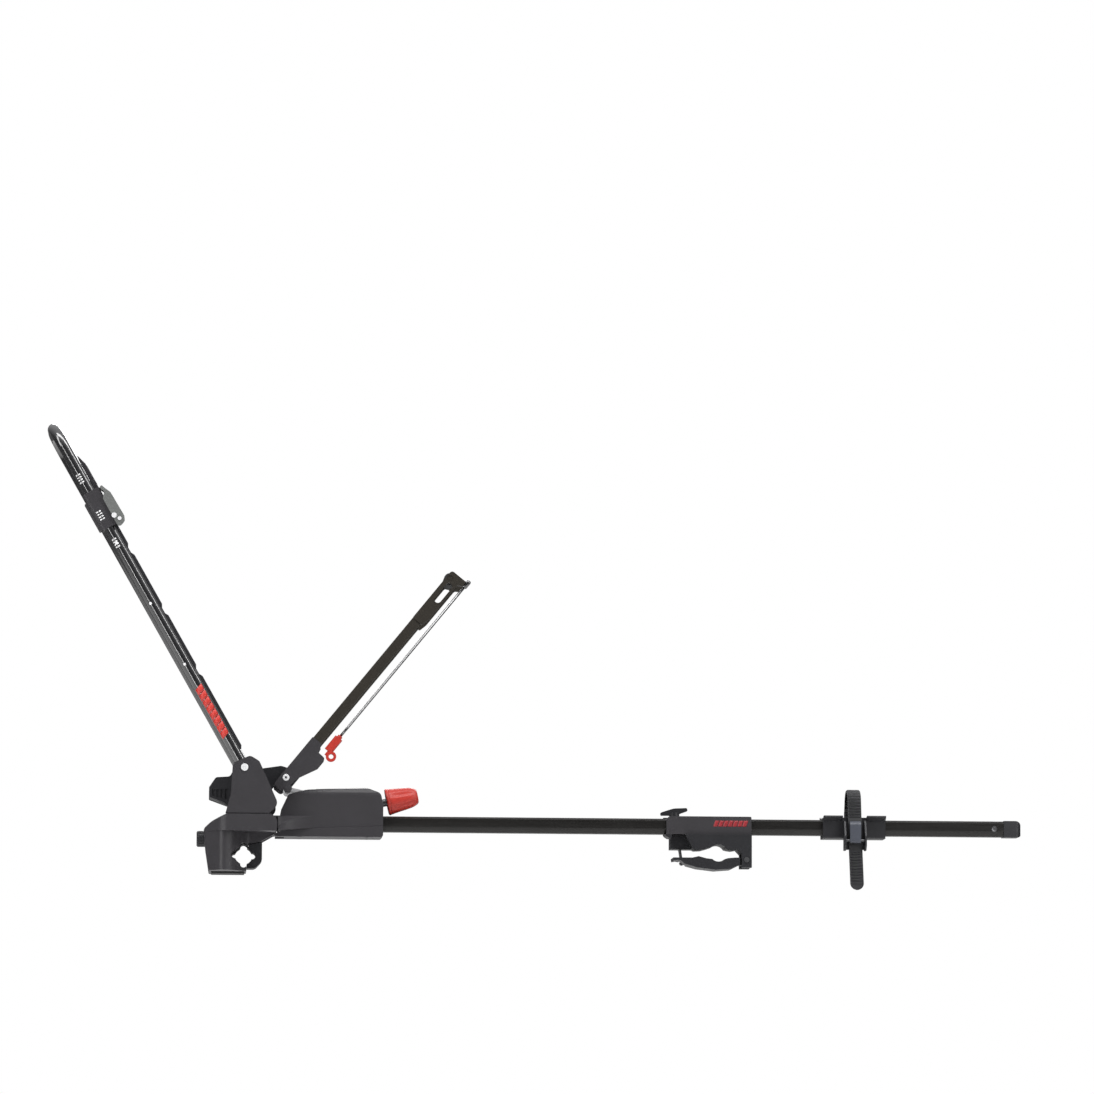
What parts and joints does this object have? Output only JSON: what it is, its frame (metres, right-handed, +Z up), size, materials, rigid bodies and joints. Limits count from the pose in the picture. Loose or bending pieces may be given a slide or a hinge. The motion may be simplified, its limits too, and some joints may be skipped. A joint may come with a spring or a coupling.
{
  "type": "roof mounted bike carrier",
  "caption": "Upright roof bike carrier: a clamped tray bar with a folding wheel hoop, a tensioned rear arm, a sliding crossbar clamp and a strapped rear wheel saddle.",
  "frame": {"origin": "axis of the front crossbar, half way across the carrier", "axes": "+X to the rear along the tray bar, +Y across to the right side, +Z up"},
  "size_m": [1.625, 0.1654, 0.7647],
  "materials": {
    "charcoal_plastic": "fine matte texture",
    "black_plastic": "matte",
    "gloss_black_paint": "gloss black paint",
    "brown_black_paint": "satin dark paint",
    "anodised_bar": "black satin anodised",
    "black_rubber": "matte",
    "red_plastic": "satin",
    "grey_plastic": "satin",
    "slate_plastic": "satin",
    "bright_steel": "zinc plated",
    "dark_steel": "black oxide",
    "strap_rubber": "satin"
  },
  "bodies": {
    "frame": {"head_body": "charcoal_plastic", "foot_pad": "black_rubber", "front_jaw_liner": "black_rubber", "left_cheek": "charcoal_plastic", "right_cheek": "charcoal_plastic", "cheek_screws": "bright_steel", "wheel_cradle": "black_plastic", "cradle_bolts": "bright_steel", "front_pivot_pins": "bright_steel", "rear_pivot_pins": "bright_steel", "tray_bar": "anodised_bar", "lower_cowl": "charcoal_plastic", "upper_cowl": "charcoal_plastic", "cowl_screws": "bright_steel", "spindle_bracket": "bright_steel", "bar_end_cap": "black_plastic", "cap_screw": "dark_steel"},
    "front_claw": {"rear_jaw": "black_plastic", "clamp_rod": "bright_steel"},
    "front_knob": {"front_knob": "black_plastic", "knob_nut": "bright_steel"},
    "front_arm": {"hoop_tube": "gloss_black_paint", "arm_bushes": "bright_steel", "left_index_rail": "black_plastic", "right_index_rail": "black_plastic", "rail_rivets": "bright_steel"},
    "wheel_stop": {"left_stop_sleeve": "charcoal_plastic", "right_stop_sleeve": "charcoal_plastic", "stop_pad": "charcoal_plastic", "lever_pin": "bright_steel"},
    "latch": {"latch_lever": "grey_plastic", "latch_rivet": "bright_steel"},
    "rear_arm": {"left_rear_sleeve": "charcoal_plastic", "right_rear_sleeve": "charcoal_plastic", "left_rear_tube": "brown_black_paint", "right_rear_tube": "brown_black_paint", "left_rear_tip": "brown_black_paint", "right_rear_tip": "brown_black_paint", "rear_cross_rod": "brown_black_paint", "rear_tyre_pad": "black_rubber", "lock_cable": "gloss_black_paint", "cable_plug": "red_plastic", "link_pins": "bright_steel"},
    "pull_links": {"pull_links": "bright_steel"},
    "carriage": {"carriage": "black_plastic"},
    "tension_knob": {"tension_knob": "red_plastic", "spindle": "dark_steel"},
    "mid_clamp": {"mid_housing": "charcoal_plastic", "mid_upper_jaw": "black_plastic", "mid_hinge_pin": "dark_steel", "mid_screws": "bright_steel"},
    "mid_jaw": {"mid_lower_jaw": "black_plastic"},
    "mid_bolt": {"mid_bolt": "dark_steel"},
    "mid_knob": {"mid_knob": "black_plastic"},
    "wheel_tray": {"saddle": "black_plastic", "buckle_frame": "black_plastic", "ladder_strap": "strap_rubber", "strap_pins": "dark_steel"},
    "buckle_lever": {"buckle_lever": "slate_plastic"}
  },
  "joints": [
    {"name": "front_claw_slide", "type": "slide", "parent": "frame", "child": "front_claw", "axis": [1, 0, 0], "range_m": [0, 0.03]},
    {"name": "front_knob_turn", "type": "hinge", "parent": "frame", "child": "front_knob", "pos_m": [-0.07, 0, 0.0288], "axis": [1, 0, 0], "range_deg": [0, 2161]},
    {"name": "front_arm_fold", "type": "hinge", "parent": "frame", "child": "front_arm", "pos_m": [0, 0, 0.1423], "axis": [0, 1, 0], "range_deg": [0, 112]},
    {"name": "wheel_stop_slide", "type": "slide", "parent": "front_arm", "child": "wheel_stop", "axis": [-0.497, 0, 0.8678], "range_m": [-0.23, 0]},
    {"name": "latch_press", "type": "hinge", "parent": "wheel_stop", "child": "latch", "pos_m": [-0.21014, -0.064, 0.55148], "axis": [0, 1, 0], "range_deg": [0, 25], "stiffness_Nm_per_rad": 0.3, "springref_deg": -2.86},
    {"name": "rear_arm_fold", "type": "hinge", "parent": "frame", "child": "rear_arm", "pos_m": [0.0685, 0, 0.1283], "axis": [0, 1, 0], "range_deg": [-15, 50.9]},
    {"name": "pull_links_swing", "type": "hinge", "parent": "rear_arm", "child": "pull_links", "pos_m": [0.0718, 0, 0.11016], "axis": [0, 1, 0], "range_deg": [-48, 14.2]},
    {"name": "carriage_slide", "type": "slide", "parent": "frame", "child": "carriage", "axis": [0.9789, 0, 0.2045], "range_m": [-0.0175, 0.0052]},
    {"name": "tension_knob_turn", "type": "hinge", "parent": "frame", "child": "tension_knob", "pos_m": [0.2313, 0, 0.0909], "axis": [0.9789, 0, 0.2045], "range_deg": [-310, 1050]},
    {"name": "mid_clamp_slide", "type": "slide", "parent": "frame", "child": "mid_clamp", "axis": [1, 0, 0], "range_m": [-0.3, 0.03]},
    {"name": "mid_jaw_swing", "type": "hinge", "parent": "mid_clamp", "child": "mid_jaw", "pos_m": [0.833, 0, 0], "axis": [0, -1, 0], "range_deg": [0, 15]},
    {"name": "mid_bolt_slide", "type": "slide", "parent": "mid_clamp", "child": "mid_bolt", "axis": [0.153, 0, -0.9882], "range_m": [0, 0.02729]},
    {"name": "mid_knob_turn", "type": "hinge", "parent": "mid_clamp", "child": "mid_knob", "pos_m": [0.7285, 0.022, -0.0015], "axis": [-0.153, 0, 0.9882], "range_deg": [0, 2456]},
    {"name": "wheel_tray_slide", "type": "slide", "parent": "frame", "child": "wheel_tray", "axis": [1, 0, 0], "range_m": [-0.08, 0.16]},
    {"name": "buckle_lever_lift", "type": "hinge", "parent": "wheel_tray", "child": "buckle_lever", "pos_m": [1.013, -0.0364, 0.033], "axis": [1, 0, 0], "range_deg": [0, 70], "stiffness_Nm_per_rad": 0.05, "springref_deg": -5.73}
  ],
  "couplings": [
    {"joint": "front_knob_turn", "follows": "front_claw_slide", "rad_per_m": 1256.6},
    {"joint": "pull_links_swing", "follows": "rear_arm_fold", "ratio": -0.94},
    {"joint": "carriage_slide", "follows": "rear_arm_fold", "m_per_rad": -0.0196},
    {"joint": "tension_knob_turn", "follows": "rear_arm_fold", "ratio": 20.525},
    {"joint": "mid_bolt_slide", "follows": "mid_jaw_swing", "m_per_rad": 0.10421},
    {"joint": "mid_knob_turn", "follows": "mid_jaw_swing", "ratio": 163.7}
  ]
}
